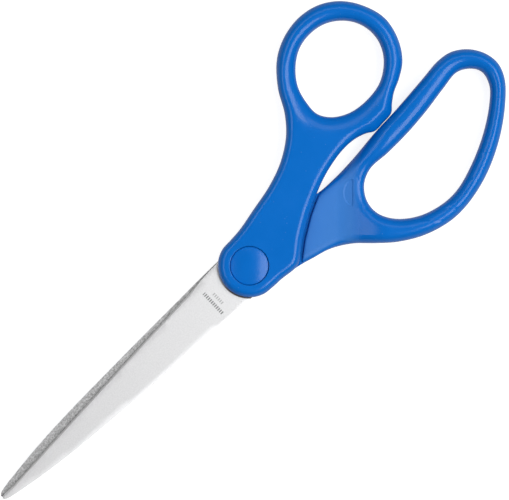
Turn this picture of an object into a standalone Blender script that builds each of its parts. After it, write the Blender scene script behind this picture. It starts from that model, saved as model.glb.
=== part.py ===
"""Bent-handle office scissors, closed and lying flat, as separate pieces on one pivot.

Frame: metres, +Z up. The origin is on the pivot's axis, in the plane that the scissors lie on. +X runs
along the closed blades to their tips and +Y towards the long finger loop.

The finger half is the lower one: long loop, lower blade and the pivot's screw. The thumb half is the upper
one, with the small ring, and it turns about +Z. Each half is drawn outwards from the plane where the
blades meet: SIDE is +1 for the thumb half, whose outer face is up, and -1 for the finger half.
"""

import math

import bmesh
import bpy
from mathutils import Vector
from mathutils.geometry import interpolate_bezier

MM = 0.001

# Overall sizes
HANDLE_LENGTH = 99.4 * MM  # pivot to the far end of the finger loop
BLADE_LENGTH = 105.4 * MM  # pivot to tip
BLADE_WIDTH = 15.2 * MM  # at the pivot
BLADE_THICKNESS = 1.6 * MM
RIM_RADIUS = 2.2 * MM  # rounding of the handles' edges

# Pivot pieces
SHOULDER_RADIUS = 2.5 * MM  # of the screw, on which the blades turn
THREAD_RADIUS = 1.75 * MM
HEAD_THICKNESS = 1.2 * MM
DRIVER_SLOT = 0.8 * MM
DRIVER_SLOT_DEPTH = 0.6 * MM
NUT_SIDES = 6
NUT_THICKNESS = 1.2 * MM
WASHER_THICKNESS = 0.4 * MM
WASHER_DISH = 0.1 * MM
SPACER_THICKNESS = 0.2 * MM
CAP_RADIUS = 6.0 * MM
CAP_THICKNESS = 1.2 * MM
CAP_ROUNDING = 0.3 * MM
SKIRT_DEPTH = 1.0 * MM  # of the ring that holds a cap in its boss
SKIRT_WALL = 0.5 * MM

# Levels and walls of the handles
BOSS_WALL = 3.8 * MM  # round a cap
SEAT_LEDGE = 0.6 * MM  # under a cap's rim
TANG_SKIN = 0.9 * MM  # plastic past the blades' meeting plane, over a tang
LUG_LEVEL = 2.6 * MM  # top of the thumb ring's stop lug, from the meeting plane
LUG_RADIUS = 10.0 * MM
LUG_TOP = 4.8 * MM  # from the thumb hole to where the ring slopes down to the lug
LUG_FOOT = 6.6 * MM

# Cutting edge
GRIND_WIDTH = 0.5 * MM
EDGE_LAND = 0.5 * MM  # thickness left at the cutting edge

# Fits
RUNNING_FIT = 0.05 * MM  # radial, where a piece turns on the screw
FACE_GAP = 0.1 * MM  # between pieces that bear on each other in the pivot
CAP_GAP = 0.2 * MM  # between a cap and what it covers
SEAT_GAP = 0.15 * MM  # round a cap, and round a tang in its pocket
FIELD_GAP = 0.3 * MM  # from the meeting plane to a handle's face where the halves cross
NECK_GAP = 0.8 * MM  # from one handle's neck to the other's shoulder, in plan
PAST = 1.0 * MM  # how far a cutter runs past what it cuts

OUTLINE_STEPS = 3  # straight sides between two points of a handle's outline
NOSE_REACH = 96  # degrees of the boss's round nose, each way from the blades' line
NOSE_STEP = 24
RIM_STEPS = 2
PIVOT_FACETS = 32
BORE_FACETS = 48
SHARP_ANGLE = math.radians(35)

HANDLE_BLUE = (0.0, 0.155, 0.61)
BLADE_STEEL = (0.74, 0.74, 0.75)

# Heights of the pivot's stack, outwards from the meeting plane
BLADE_INNER = SPACER_THICKNESS / 2 + FACE_GAP
BLADE_OUTER = BLADE_INNER + BLADE_THICKNESS
WASHER_INNER = BLADE_OUTER + FACE_GAP
WASHER_OUTER = WASHER_INNER + WASHER_THICKNESS
FASTENER_INNER = WASHER_OUTER + FACE_GAP
FINGER_HALF = FASTENER_INNER + NUT_THICKNESS + CAP_GAP + CAP_THICKNESS
THUMB_HALF = FASTENER_INNER + HEAD_THICKNESS + CAP_GAP + CAP_THICKNESS
HALF_HEIGHT = {1: THUMB_HALF, -1: FINGER_HALF}
MEETING_Z = FINGER_HALF
TOP_Z = FINGER_HALF + THUMB_HALF

BOSS_RADIUS = CAP_RADIUS + BOSS_WALL
CLEAR = 2 * BOSS_RADIUS  # well past the bosses, for the far sides of cutters
BORE_RADIUS = CAP_RADIUS - SEAT_LEDGE
SKIRT_RADIUS = BORE_RADIUS - FACE_GAP
WASHER_RADIUS = SKIRT_RADIUS - SKIRT_WALL - CAP_GAP
HEAD_RADIUS = WASHER_RADIUS - CAP_GAP
NUT_RADIUS = HEAD_RADIUS - CAP_GAP  # over the corners
SPACER_RADIUS = CAP_RADIUS

# Outlines in plan, in millimetres, anticlockwise. They are drawn for the lengths given here, and the
# handles' points behind the bosses move with HANDLE_LENGTH and the blades' points with BLADE_LENGTH.
DRAWN_HANDLE = 99.4
DRAWN_BOSS = 13.0
DRAWN_BLADE = 105.4
DRAWN_WIDTH = 15.2
THUMB_NECK = [(-12.6, 9.4), (-17.7, 5.3), (-24.2, 1.1), (-30.7, -2.2), (-37.4, -4.8)]
FINGER_NECK = [(-37.7, -1.7), (-30.7, -2.0), (-24.0, -4.3), (-18.0, -7.2), (-12.4, -9.9)]
THUMB_RING = [
    (-45.5, -6.5), (-50.8, -6.4), (-54.6, -5.3), (-57.0, -4.0), (-60.7, -4.1), (-64.6, -4.6),
    (-66.7, -6.5), (-69.6, -8.7), (-73.8, -10.8), (-78.3, -14.1), (-81.9, -20.0), (-83.3, -27.4),
    (-81.2, -34.6), (-77.0, -40.6), (-71.0, -44.5), (-64.0, -45.8), (-56.5, -44.5), (-50.0, -40.9),
    (-44.2, -34.2), (-40.3, -27.0), (-35.7, -21.5), (-28.9, -16.8), (-21.3, -13.8), (-13.1, -11.9),
    (-5.4, -10.2),
]
THUMB_HOLE = [
    (-47.5, -24.5), (-47.6, -20.0), (-50.2, -16.2), (-55.2, -13.4), (-61.7, -12.6), (-68.6, -13.9),
    (-74.1, -18.0), (-76.8, -22.8), (-77.3, -27.6), (-76.0, -32.2), (-73.2, -35.9), (-68.8, -38.8),
    (-63.3, -39.8), (-57.7, -38.8), (-52.8, -35.5), (-49.0, -30.4),
]
FINGER_LOOP = [
    (-4.5, 9.7), (-11.2, 10.5), (-16.1, 11.7), (-22.0, 13.3), (-28.1, 16.8), (-33.4, 21.6),
    (-38.7, 26.0), (-46.3, 30.2), (-55.2, 32.5), (-63.0, 32.3), (-73.2, 29.6), (-83.8, 24.2),
    (-92.6, 17.4), (-97.6, 11.8), (-99.4, 6.8), (-98.6, 1.9), (-95.7, -2.6), (-91.3, -5.6),
    (-86.3, -6.4), (-79.0, -5.6), (-65.2, -4.1), (-56.8, -3.5), (-45.2, -2.1),
]
FINGER_HOLE = [
    (-40.4, 10.3), (-40.2, 15.3), (-43.1, 20.4), (-49.1, 24.8), (-56.6, 27.0), (-63.1, 27.0),
    (-71.1, 24.6), (-80.7, 20.0), (-88.6, 14.5), (-92.8, 10.1), (-94.0, 5.5), (-92.2, 2.3),
    (-88.2, 0.1), (-81.6, 0.9), (-73.0, 2.4), (-64.0, 3.4), (-55.4, 3.7), (-48.0, 3.6), (-43.4, 5.8),
]
LUG_CENTRE = (-60.8, -2.5)
# Where a handle rises from its neck to its ring: heading in degrees, and how far out its foot and crest lie.
FINGER_RAMP = (137.0, 32.0, 40.0)
THUMB_RAMP = (203.0, 44.0, 52.0)
GRIND_RUN_OUT = (6.0, -8.9)
GRIND_PAST_TIP = (109.0, 0.5)
GRIND_SLIP = 0.03  # along the blade, so that the grinding's creases miss the outline's own points
THUMB_CORNER = [(-4.5, 9.8), (-10.2, 10.2)]
FINGER_CORNER = [(-10.4, -10.2), (-4.5, -9.8)]
BLADE_SPINE = [
    (0.0, 7.6), (30.0, 7.0), (50.0, 6.25), (70.0, 5.3), (80.0, 4.65), (90.0, 3.65), (97.0, 2.7),
    (102.0, 1.95), (104.5, 1.3),
]
BLADE_EDGE = [
    (104.9, -0.15), (100.0, -0.3), (80.0, -2.0), (60.0, -3.55), (45.0, -4.7), (20.0, -6.4), (10.0, -7.3),
]
BLADE_TIP = [(105.4, 0.5)]
BLADE_TANG = [
    (0.0, -7.6), (-9.0, -7.8), (-17.0, -9.3), (-25.0, -11.6), (-30.5, -12.9), (-33.0, -10.6),
    (-31.0, -7.4), (-25.0, -4.4), (-19.0, -1.2), (-12.0, 3.2), (-6.0, 6.6),
]


def handle_point(x, y):
    """A drawn point in metres. Behind the boss it moves with the handles' length."""
    stretch = (HANDLE_LENGTH / MM - DRAWN_BOSS) / (DRAWN_HANDLE - DRAWN_BOSS)
    if x < -DRAWN_BOSS:
        x = -DRAWN_BOSS + (x + DRAWN_BOSS) * stretch
    return Vector((x, y)) * MM


def blade_point(x, y):
    """A drawn point of a blade in metres. The tang lies in the handle, and so moves with its length."""
    if x < -DRAWN_BOSS:
        return handle_point(x, y)
    if x > 0:
        x *= BLADE_LENGTH / MM / DRAWN_BLADE
    return Vector((x * MM, y * BLADE_WIDTH / DRAWN_WIDTH))


def boss_arc():
    """The round nose that both handles have, anticlockwise."""
    turns = [math.radians(degrees) for degrees in range(-NOSE_REACH, NOSE_REACH + 1, NOSE_STEP)]
    return [BOSS_RADIUS * Vector((math.cos(turn), math.sin(turn))) for turn in turns]


def smooth_loop(points, steps=OUTLINE_STEPS):
    """A closed smooth curve through the points, in short straight sides."""
    loop = []
    count = len(points)
    for i, start in enumerate(points):
        before, end, after = points[i - 1], points[(i + 1) % count], points[(i + 2) % count]
        first = math.sqrt((start - before).length)
        second = math.sqrt((end - start).length)
        third = math.sqrt((after - end).length)
        leave = (end - start) + second * ((start - before) / first - (end - before) / (first + second))
        arrive = (end - start) + second * ((after - end) / third - (after - start) / (second + third))
        loop += interpolate_bezier(start, start + leave / 3, end - arrive / 3, end, steps + 1)[:-1]
    return [point.to_2d() for point in loop]


def offset_line(points, distance, closed=True):
    """The line moved to its right by the distance, which is outwards for an anticlockwise loop."""
    moved = []
    last = len(points) - 1
    for i, point in enumerate(points):
        before = points[i - 1] if closed or i > 0 else point
        after = points[(i + 1) % len(points)] if closed or i < last else point
        along = (after - before).normalized()
        moved.append(point + distance * Vector((along.y, -along.x)))
    return moved


def flipped(loop):
    """The loop turned over about the X axis, still anticlockwise."""
    return [Vector((point.x, -point.y)) for point in reversed(loop)]


def thumb_outline():
    drawn = THUMB_CORNER + THUMB_NECK + THUMB_RING
    return smooth_loop(boss_arc() + [handle_point(*point) for point in drawn])


def finger_outline():
    drawn = FINGER_LOOP + FINGER_NECK + FINGER_CORNER
    return smooth_loop(boss_arc() + [handle_point(*point) for point in drawn])


def blade_outline():
    """The upper blade and its tang, anticlockwise. The lower blade is the same one turned over."""
    drawn = BLADE_EDGE[::-1] + BLADE_TIP + BLADE_SPINE[::-1] + BLADE_TANG[::-1]
    return smooth_loop([blade_point(*point) for point in drawn])


def new_collection(name):
    collection = bpy.data.collections.new(name)
    bpy.context.scene.collection.children.link(collection)
    return collection


def new_empty(name):
    """A parent for the pieces of one half, on the pivot's axis."""
    empty = bpy.data.objects.new(name, None)
    empty.empty_display_size = BOSS_RADIUS
    parts.objects.link(empty)
    return empty


def new_material(name, colour, roughness, metallic=0.0):
    material = bpy.data.materials.new(name)
    material.use_nodes = True
    shader = material.node_tree.nodes["Principled BSDF"]
    shader.inputs["Base Color"].default_value = (*colour, 1.0)
    shader.inputs["Roughness"].default_value = roughness
    shader.inputs["Metallic"].default_value = metallic
    return material


def finished_part(part, parent, material):
    """Names the part's half and material, and shades it smooth up to its sharp edges."""
    part.parent = parent
    part.data.materials.clear()
    part.data.materials.append(material)
    part.data.shade_smooth()
    part.data.set_sharp_from_angle(angle=SHARP_ANGLE)
    return part


def as_cutter(cutter):
    cutter.hide_render = True
    cutter.display_type = "WIRE"
    return cutter


def boolean(part, other, operation="DIFFERENCE"):
    modifier = part.modifiers.new(other.name, "BOOLEAN")
    modifier.operation = operation
    modifier.object = other


def flat_solid(name, loops, height, centre_z, collection, rim=0.0):
    """A flat piece of the outline and the holes given, with its rim rounded inwards."""
    curve = bpy.data.curves.new(name, "CURVE")
    curve.dimensions = "2D"
    curve.fill_mode = "BOTH"
    curve.extrude = height / 2 - rim
    curve.bevel_depth = rim
    curve.bevel_resolution = RIM_STEPS
    curve.offset = -rim
    for loop in loops:
        spline = curve.splines.new("POLY")
        spline.points.add(len(loop) - 1)
        spline.use_cyclic_u = True
        for target, point in zip(spline.points, loop):
            target.co = (point.x, point.y, 0.0, 1.0)
    drawn = bpy.data.objects.new(name, curve)
    collection.objects.link(drawn)
    drawn.location.z = centre_z
    bpy.context.view_layer.update()
    mesh = bpy.data.meshes.new_from_object(drawn.evaluated_get(bpy.context.evaluated_depsgraph_get()))
    place = drawn.matrix_world.copy()
    bpy.data.objects.remove(drawn)
    part = mesh_object(name, welded(mesh), collection)
    part.matrix_world = place
    return part


def welded(mesh):
    """The mesh with its loose caps joined to its sides and its faces turned outwards."""
    shape = bmesh.new()
    shape.from_mesh(mesh)
    bmesh.ops.remove_doubles(shape, verts=shape.verts, dist=0.001 * MM)
    bmesh.ops.recalc_face_normals(shape, faces=shape.faces)
    shape.to_mesh(mesh)
    shape.free()
    return mesh


def mesh_object(name, mesh, collection):
    mesh.name = name
    part = bpy.data.objects.new(name, mesh)
    collection.objects.link(part)
    return part


def loft(name, sections, collection):
    """A closed solid through sections that have the same number of points, with flat ends."""
    shape = bmesh.new()
    rows = [[shape.verts.new(point) for point in section] for section in sections]
    for row, following in zip(rows, rows[1:]):
        for i in range(len(row)):
            shape.faces.new((row[i - 1], row[i], following[i], following[i - 1]))
    shape.faces.new(rows[0])
    shape.faces.new(rows[-1])
    bmesh.ops.recalc_face_normals(shape, faces=shape.faces)
    mesh = bpy.data.meshes.new(name)
    shape.to_mesh(mesh)
    shape.free()
    return mesh_object(name, mesh, collection)


def cylinder(name, radius, low, high, collection, facets=BORE_FACETS):
    """A cylinder on the pivot's axis between two heights."""
    shape = bmesh.new()
    bmesh.ops.create_cone(
        shape, cap_ends=True, segments=facets, radius1=radius, radius2=radius, depth=high - low
    )
    bmesh.ops.translate(shape, verts=shape.verts, vec=(0, 0, (low + high) / 2))
    mesh = bpy.data.meshes.new(name)
    shape.to_mesh(mesh)
    shape.free()
    return mesh_object(name, mesh, collection)


def box(name, low, high, collection):
    shape = bmesh.new()
    bmesh.ops.create_cube(shape, size=1.0)
    middle = (Vector(low) + Vector(high)) / 2
    for vertex in shape.verts:
        vertex.co = middle + vertex.co * (Vector(high) - Vector(low))
    mesh = bpy.data.meshes.new(name)
    shape.to_mesh(mesh)
    shape.free()
    return mesh_object(name, mesh, collection)


def turned(name, profile, height, parent, material, upside_down=False):
    """A round piece about the pivot's axis. Its (radius, height) profile runs down its outer side."""
    mesh = bpy.data.meshes.new(name)
    points = [(radius, 0.0, level) for radius, level in profile]
    edges = [(i, i + 1) for i in range(len(points) - 1)]
    if profile[0][0] > 0:
        edges.append((len(points) - 1, 0))
    mesh.from_pydata(points, edges, [])
    part = mesh_object(name, mesh, parts)
    screw = part.modifiers.new("turn", "SCREW")
    screw.steps = PIVOT_FACETS
    screw.render_steps = PIVOT_FACETS
    screw.use_merge_vertices = True
    screw.merge_threshold = 0.001 * MM
    part.location.z = height
    if upside_down:
        part.rotation_euler.x = math.pi
    part.parent = parent
    part.data.materials.append(material)
    return part


def height_of(side, outwards):
    """The Z of a level that is given outwards from the meeting plane."""
    return MEETING_Z + side * outwards


def between(side, inner, outer):
    """Two levels as the lower and the higher Z."""
    return sorted((height_of(side, inner), height_of(side, outer)))


def prism(name, loop, heights, collection):
    """An upright solid of the outline between two heights."""
    return loft(name, [[(*point, height) for point in loop] for height in heights], collection)


def field_cutter(name, side, neck):
    """What makes room for the other half: all on the pivot's side of its neck, up to this handle's face."""
    line = offset_line([handle_point(*point) for point in neck], NECK_GAP, closed=False)
    start = line[0] + BOSS_RADIUS * (line[0] - line[1]).normalized()
    end = line[-1] + BOSS_RADIUS * (line[-1] - line[-2]).normalized()
    boss_end, ring_end = (end, start) if side > 0 else (start, end)
    corners = [Vector((CLEAR, boss_end.y)), Vector((CLEAR, side * CLEAR)), Vector((ring_end.x, side * CLEAR))]
    outline = [start, *line, end] + corners[::side]
    heights = between(side, -HALF_HEIGHT[-side] - PAST, FIELD_GAP)
    return as_cutter(prism(name, outline, heights, cutters))


def neck_cutter(name, side, ramp):
    """What lowers the neck, on the side that faces the other half, to a skin over the tang, with a ramp."""
    heading, foot, crest = ramp
    along = Vector((math.cos(math.radians(heading)), math.sin(math.radians(heading))))
    across = HANDLE_LENGTH * along.orthogonal()
    foot, crest = (-handle_point(-reach, 0.0).x for reach in (foot, crest))
    face = -HALF_HEIGHT[-side]
    beyond = crest + (crest - foot) * PAST / abs(face + TANG_SKIN)
    profile = [(-CLEAR, -TANG_SKIN), (foot, -TANG_SKIN), (beyond, face - PAST), (-CLEAR, face - PAST)]
    sections = []
    for end in (across, -across):
        sections.append([(*(reach * along + end), height_of(side, level)) for reach, level in profile])
    return as_cutter(loft(name, sections, cutters))


def lug_core(hole):
    """What the thumb ring's slope leaves standing over the lug: a bank round the hole, wider at its foot."""
    slope = (LUG_FOOT - LUG_TOP) / (THUMB_HALF - LUG_LEVEL)
    crest = offset_line(hole, LUG_TOP - slope * PAST)
    foot = offset_line(hole, LUG_FOOT + slope * PAST)
    heights = (height_of(1, THUMB_HALF + PAST), height_of(1, LUG_LEVEL - PAST))
    sections = [[(*point, height) for point in line] for line, height in zip((crest, foot), heights)]
    return as_cutter(loft("lug_step_core", sections, cutters))


def lug_cutter(hole):
    """What lowers the stop lug of the thumb ring below the ring's crest."""
    centre = handle_point(*LUG_CENTRE)
    cutter = cylinder("lug_step", LUG_RADIUS, *between(1, LUG_LEVEL, THUMB_HALF + PAST), cutters)
    for vertex in cutter.data.vertices:
        vertex.co.xy += centre
    boolean(cutter, lug_core(hole))
    return as_cutter(cutter)


def make_handle(name, side, outline, hole, other_neck, ramp, parent, material):
    """A moulded handle with rounded rims, stepped where the halves cross, with a pocket for its tang."""
    handle = flat_solid(name, [outline, hole], TOP_Z, TOP_Z / 2, parts, RIM_RADIUS)
    boolean(handle, field_cutter(name + "_field", side, other_neck))
    boolean(handle, neck_cutter(name + "_neck", side, ramp))
    tang = blade_outline() if side > 0 else flipped(blade_outline())
    pocket = prism(
        name + "_pocket", offset_line(tang, SEAT_GAP),
        between(side, BLADE_INNER - SEAT_GAP, BLADE_OUTER + SEAT_GAP), cutters
    )
    boolean(handle, as_cutter(pocket))
    half = HALF_HEIGHT[side]
    bore = cylinder(name + "_bore", BORE_RADIUS, *between(side, 0.0, half + PAST), cutters)
    boolean(handle, as_cutter(bore))
    ledge = half - CAP_THICKNESS - FACE_GAP
    seat = cylinder(name + "_seat", CAP_RADIUS + SEAT_GAP, *between(side, ledge, half + PAST), cutters)
    boolean(handle, as_cutter(seat))
    if side > 0:
        boolean(handle, lug_cutter(hole))
    return finished_part(handle, parent, material)


def grind_cutter(name, side):
    """What the grinding of the cutting edge takes away: a wedge along the edge, on the outer face."""
    drawn = [GRIND_RUN_OUT, *BLADE_EDGE[-2::-1], GRIND_PAST_TIP]
    edge = [blade_point(x + GRIND_SLIP, y) for x, y in drawn]
    slope = (BLADE_THICKNESS - EDGE_LAND) / GRIND_WIDTH
    land = BLADE_INNER + EDGE_LAND
    profile = (
        (PAST, land - slope * PAST),
        (-GRIND_WIDTH - PAST / slope, BLADE_OUTER + PAST),
        (PAST, BLADE_OUTER + PAST),
    )
    lines = [(offset_line(edge, outwards, closed=False), level) for outwards, level in profile]
    sections = [
        [(line[i].x, side * line[i].y, height_of(side, level)) for line, level in lines]
        for i in range(len(edge))
    ]
    return as_cutter(loft(name, sections, cutters))


def make_blade(name, side, parent, material):
    outline = blade_outline() if side > 0 else flipped(blade_outline())
    centre = height_of(side, (BLADE_INNER + BLADE_OUTER) / 2)
    blade = flat_solid(name, [outline], BLADE_THICKNESS, centre, parts)
    boolean(blade, grind_cutter(name + "_grind", side))
    heights = between(side, 0.0, BLADE_OUTER + PAST)
    hole = cylinder(name + "_hole", SHOULDER_RADIUS + RUNNING_FIT, *heights, cutters, PIVOT_FACETS)
    boolean(blade, as_cutter(hole))
    return finished_part(blade, parent, material)


def make_screw(parent, material):
    """The shouldered screw on which the blades turn, with its head on the thumb half."""
    head_top = FASTENER_INNER + HEAD_THICKNESS
    thread_end = FASTENER_INNER + NUT_THICKNESS
    profile = [
        (0.0, head_top),
        (HEAD_RADIUS - CAP_ROUNDING, head_top),
        (HEAD_RADIUS, head_top - CAP_ROUNDING),
        (HEAD_RADIUS, FASTENER_INNER),
        (SHOULDER_RADIUS, FASTENER_INNER),
        (SHOULDER_RADIUS, -BLADE_OUTER),
        (THREAD_RADIUS, -BLADE_OUTER),
        (THREAD_RADIUS, -thread_end),
        (0.0, -thread_end),
    ]
    screw = turned("pivot_screw", profile, MEETING_Z, parent, material)
    floor = height_of(1, head_top - DRIVER_SLOT_DEPTH)
    low = (-HEAD_RADIUS - PAST, -DRIVER_SLOT / 2, floor)
    high = (HEAD_RADIUS + PAST, DRIVER_SLOT / 2, height_of(1, head_top) + PAST)
    boolean(screw, as_cutter(box("driver_slot", low, high, cutters)))
    return screw


def make_ring(name, inner, outer, thickness, height, parent, material, dish=0.0):
    """A washer, whose inner edge is raised by the dish."""
    profile = [(outer, thickness - dish), (outer, 0.0), (inner, dish), (inner, thickness)]
    return turned(name, profile, height, parent, material)


def make_nut(parent, material):
    low, high = between(-1, FASTENER_INNER, FASTENER_INNER + NUT_THICKNESS)
    nut = cylinder("pivot_nut", NUT_RADIUS, low, high, parts, NUT_SIDES)
    hole = cylinder("nut_hole", THREAD_RADIUS + RUNNING_FIT, low - PAST, high + PAST, cutters, PIVOT_FACETS)
    boolean(nut, as_cutter(hole))
    return finished_part(nut, parent, material)


def make_cap(name, side, parent, material):
    """A round cap that covers the screw's head or its nut, with a ring that grips the bore."""
    profile = [
        (0.0, CAP_THICKNESS),
        (CAP_RADIUS - CAP_ROUNDING, CAP_THICKNESS),
        (CAP_RADIUS, CAP_THICKNESS - CAP_ROUNDING),
        (CAP_RADIUS, 0.0),
        (SKIRT_RADIUS, 0.0),
        (SKIRT_RADIUS, -SKIRT_DEPTH),
        (SKIRT_RADIUS - SKIRT_WALL, -SKIRT_DEPTH),
        (SKIRT_RADIUS - SKIRT_WALL, 0.0),
        (0.0, 0.0),
    ]
    base = height_of(side, HALF_HEIGHT[side] - CAP_THICKNESS)
    return turned(name, profile, base, parent, material, upside_down=side < 0)


def make_pivot(half, other):
    """Everything on the pivot's axis. All but the thumb half's cap stays with the finger half."""
    steel = new_material("pivot_steel", (0.52, 0.52, 0.53), 0.35, 1.0)
    nylon = new_material("nylon", (0.85, 0.85, 0.82), 0.5)
    turning = SHOULDER_RADIUS + RUNNING_FIT
    threading = THREAD_RADIUS + RUNNING_FIT
    make_screw(half, steel)
    make_nut(half, new_material("nut_steel", (0.48, 0.48, 0.48), 0.4, 1.0))
    make_ring(
        "spring_washer", turning, WASHER_RADIUS, WASHER_THICKNESS, height_of(1, WASHER_INNER), half,
        new_material("spring_steel", (0.40, 0.40, 0.42), 0.35, 1.0), dish=WASHER_DISH
    )
    make_ring(
        "nut_washer", threading, WASHER_RADIUS, WASHER_THICKNESS, height_of(-1, WASHER_OUTER), half,
        new_material("washer_steel", (0.50, 0.50, 0.50), 0.4, 1.0)
    )
    make_ring(
        "blade_washer", turning, SPACER_RADIUS, SPACER_THICKNESS, height_of(-1, SPACER_THICKNESS / 2),
        half, nylon
    )
    make_cap("finger_cap", -1, half, new_material("finger_cap_blue", HANDLE_BLUE, 0.30))
    make_cap("thumb_cap", 1, other, new_material("thumb_cap_blue", HANDLE_BLUE, 0.30))


for leftover in list(bpy.data.objects):
    bpy.data.objects.remove(leftover)
parts = new_collection("office_scissors")
cutters = new_collection("cutters")
cutters.hide_render = True
finger_half = new_empty("finger_half")
thumb_half = new_empty("thumb_half")

make_handle(
    "finger_handle", -1, finger_outline(), smooth_loop([handle_point(*point) for point in FINGER_HOLE]),
    THUMB_NECK, FINGER_RAMP, finger_half, new_material("finger_handle_blue", HANDLE_BLUE, 0.32)
)
make_handle(
    "thumb_handle", 1, thumb_outline(), smooth_loop([handle_point(*point) for point in THUMB_HOLE]),
    FINGER_NECK, THUMB_RAMP, thumb_half, new_material("thumb_handle_blue", HANDLE_BLUE, 0.32)
)
make_blade("finger_blade", -1, finger_half, new_material("finger_blade_steel", BLADE_STEEL, 0.3, 1.0))
make_blade("thumb_blade", 1, thumb_half, new_material("thumb_blade_steel", BLADE_STEEL, 0.3, 1.0))
make_pivot(finger_half, thumb_half)
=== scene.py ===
"""Bent-handle office scissors: moulded handles, ground steel blades, capped pivot, floor and studio light."""

import math

import bmesh
import bpy
import numpy as np
from mathutils import Matrix, Vector
from mathutils.geometry import delaunay_2d_cdt


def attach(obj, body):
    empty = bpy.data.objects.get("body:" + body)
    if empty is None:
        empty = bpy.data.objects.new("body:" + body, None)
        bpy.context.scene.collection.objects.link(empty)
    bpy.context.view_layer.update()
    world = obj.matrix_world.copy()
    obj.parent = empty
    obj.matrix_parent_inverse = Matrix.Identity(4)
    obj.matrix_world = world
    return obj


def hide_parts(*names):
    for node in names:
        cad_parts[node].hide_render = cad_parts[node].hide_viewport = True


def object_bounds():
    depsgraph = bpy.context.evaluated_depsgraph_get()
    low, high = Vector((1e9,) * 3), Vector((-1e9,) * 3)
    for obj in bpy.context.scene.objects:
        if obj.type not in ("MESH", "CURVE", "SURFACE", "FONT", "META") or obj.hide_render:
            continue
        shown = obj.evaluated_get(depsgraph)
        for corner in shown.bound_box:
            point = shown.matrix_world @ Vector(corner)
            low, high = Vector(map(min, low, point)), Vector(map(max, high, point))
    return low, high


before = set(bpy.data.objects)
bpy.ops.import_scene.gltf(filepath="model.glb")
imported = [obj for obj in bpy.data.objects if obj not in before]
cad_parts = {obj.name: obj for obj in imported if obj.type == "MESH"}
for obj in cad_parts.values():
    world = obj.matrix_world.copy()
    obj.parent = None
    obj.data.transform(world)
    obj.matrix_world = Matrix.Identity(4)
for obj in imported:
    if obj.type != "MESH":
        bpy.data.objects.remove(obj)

CAD_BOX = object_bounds()
MM = 0.001
VIEW_TURN = math.radians(43.11)  # from the blades' line to straight down in the view

# Heights in millimetres, outwards from the plane where the blades meet
HALF_HEIGHT = round(CAD_BOX[1][2] / MM, 3) / 2
MEETING_Z = HALF_HEIGHT
NECK_SKIN = 0.9  # plastic past the meeting plane, over a tang
CROSSING_FACE = 0.3  # where the halves cross, next to the blades
CROSSING_SKIN = 0.12  # and behind the bosses, over the tangs
CROSSING_STEP = (10.5, 11.5)  # from the pivot, where the one gives way to the other
BLADE_INNER = 0.2
BLADE_OUTER = 1.8

# Rims and slopes of the handles, in millimetres
NECK_RIM = (2.4, 3.0)  # width and depth of the rounding along the neck's outer edge
RING_RIM = (3.0, 3.6)
INNER_RIM = (2.4, 1.5)  # along the neck's other edge, which faces the other half
RING_WIDTH = 5.5  # from a hole, where the ring's rim starts to give way to the neck's
RING_FOOT = 9.5  # and where it ends
HOLE_RIM_AT_NECK = 7.0  # width of the rounding round a hole, on the side where the neck joins it
HOLE_RIM = 3.6  # and round a hole on the side that faces the other half
ROUND_RUN = 4.0  # along which the neck's rim turns into the ring's, each way from a ramp's foot
TOWARDS_NECK = (-0.2, 0.9)  # over which part of a ring that rounding widens, as facing_neck tells it
LUG_RADIUS = 12.0
LUG_RIDGE = 5.6  # from the hole to the ridge where the ring's face falls away over its stop lug
LUG_SLOPE = 0.62
RIDGE_ROUNDING = 0.5
SHOULDER_GAP = 0.8  # from one handle's neck to the other's shoulder
SHOULDER_RUN = 0.06  # how far a shoulder's wall leans
SHOULDER_ROUNDING = (0.5, 0.35)  # width and depth
PARTING_HEIGHT = 0.06  # how far the moulding's parting line stands out of its walls
PARTING_HALF_WIDTH = 0.12
BOSS_RADIUS = 9.8
BORE_RADIUS = 5.4
SEAT_RADIUS = 6.08
SEAT_BREAK = 0.15  # the rounding of the edge round the cap's seat
SEAT_LEVEL = 3.7
CAP_RADIUS = 6.0
CAP_RIM = 0.35
CAP_THICKNESS = 1.2
THUMB_DOME = 0.72  # how far the thumb cap's face falls from its middle to its rim
DOME_PROUD = 0.22  # the share of a dome that stands out of the boss
SKIRT_RADIUS = 5.3
SKIRT_WALL = 0.5
SKIRT_DEPTH = 1.0

# Blades, in millimetres
BLADE_BREAK = 0.12  # the rounding of a blade's plain edges
GRIND_WIDTH = 0.5
GRIND_CORNER = 0.12  # half the width of the rounding where the ground bevel meets the face
EDGE_LAND = 0.5
PIVOT_HOLE = 2.55

# How closely meshes follow their plans, in millimetres, and which edges stay sharp, in degrees
HANDLE_EDGE_STEP = 0.6
HANDLE_GRID = 0.55
BLADE_EDGE_STEP = 0.4
BLADE_GRID = 1.6
SHOULDER_STEP = 0.1
SHOULDER_ROWS = (0.1, 0.25, 0.5)
LINE_STEP = 1.0  # along a neck or a ground edge
SEAT_STEP = 0.5
SEAT_WALL = 0.02  # how far its wall leans
PAD_STEP = 0.4
BLADE_HOLE_STEP = 0.3
HANDLE_SHARP = 62
BLADE_SHARP = 24
ROUND_SHARP = 30
ROUND_FACETS = 96
CURVE_STEPS = 24  # from one drawn point to the next
ROW_CLEARANCE = 0.97  # of its distance from its own edge, which a row's point keeps from every edge
GRID_ROW = 0.866  # from one row of an even grid to the next, as a share of its step
WELD = 0.002 * MM

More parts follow.
